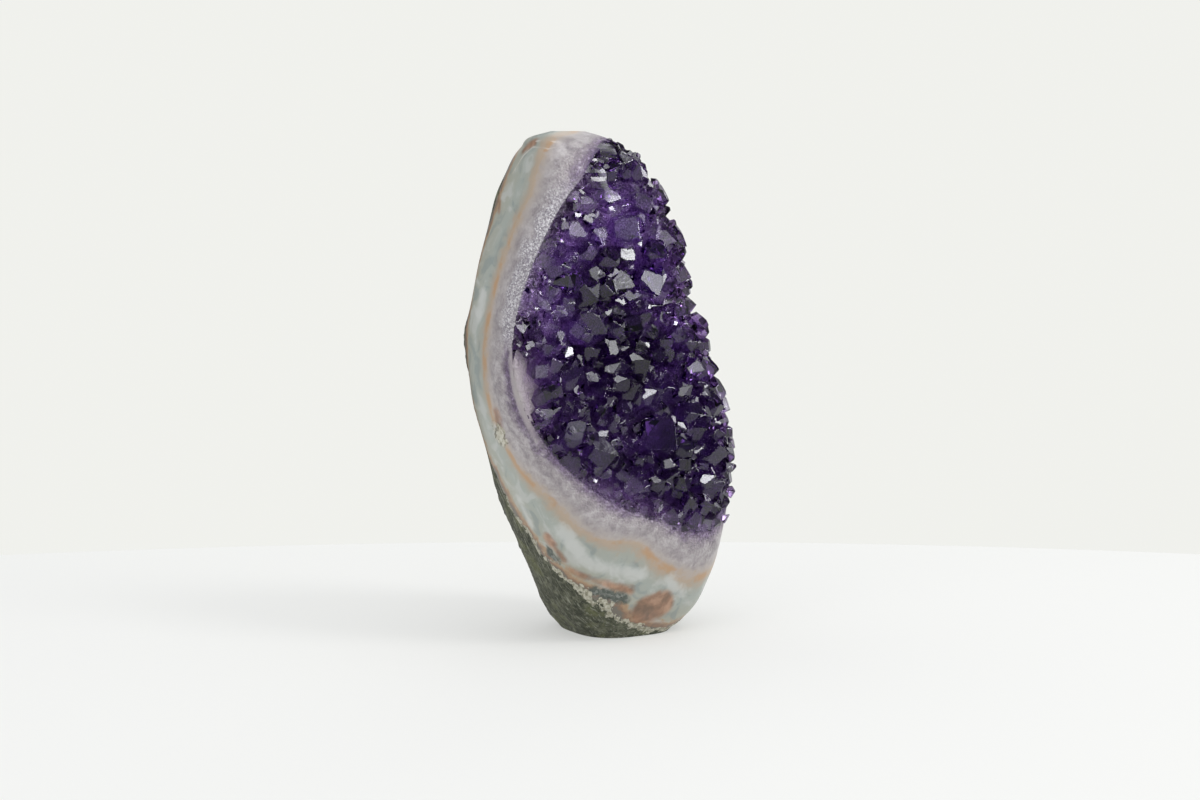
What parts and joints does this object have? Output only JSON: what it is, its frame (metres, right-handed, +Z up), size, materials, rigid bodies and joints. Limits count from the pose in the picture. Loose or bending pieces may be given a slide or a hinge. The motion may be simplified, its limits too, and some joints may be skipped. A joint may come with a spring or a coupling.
{
  "type": "amethyst geode",
  "caption": "Free-standing cut-base geode piece: polished agate and basalt wall with a crust of purple amethyst crystals in its hollow.",
  "frame": {"origin": "middle of the flat sawn base", "axes": "+Z up, the crystal-lined hollow faces -Y, +X to the right seen from the hollow's side"},
  "size_m": [0.0573, 0.0441, 0.1095],
  "materials": {
    "agate_and_basalt": "ground and polished agate bands over matt green basalt, rough at the back",
    "amethyst": "clear purple quartz crystals with glossy faces"
  },
  "bodies": {
    "root": {"stone_wall": "agate_and_basalt", "crystal_crust": "amethyst"}
  },
  "joints": []
}
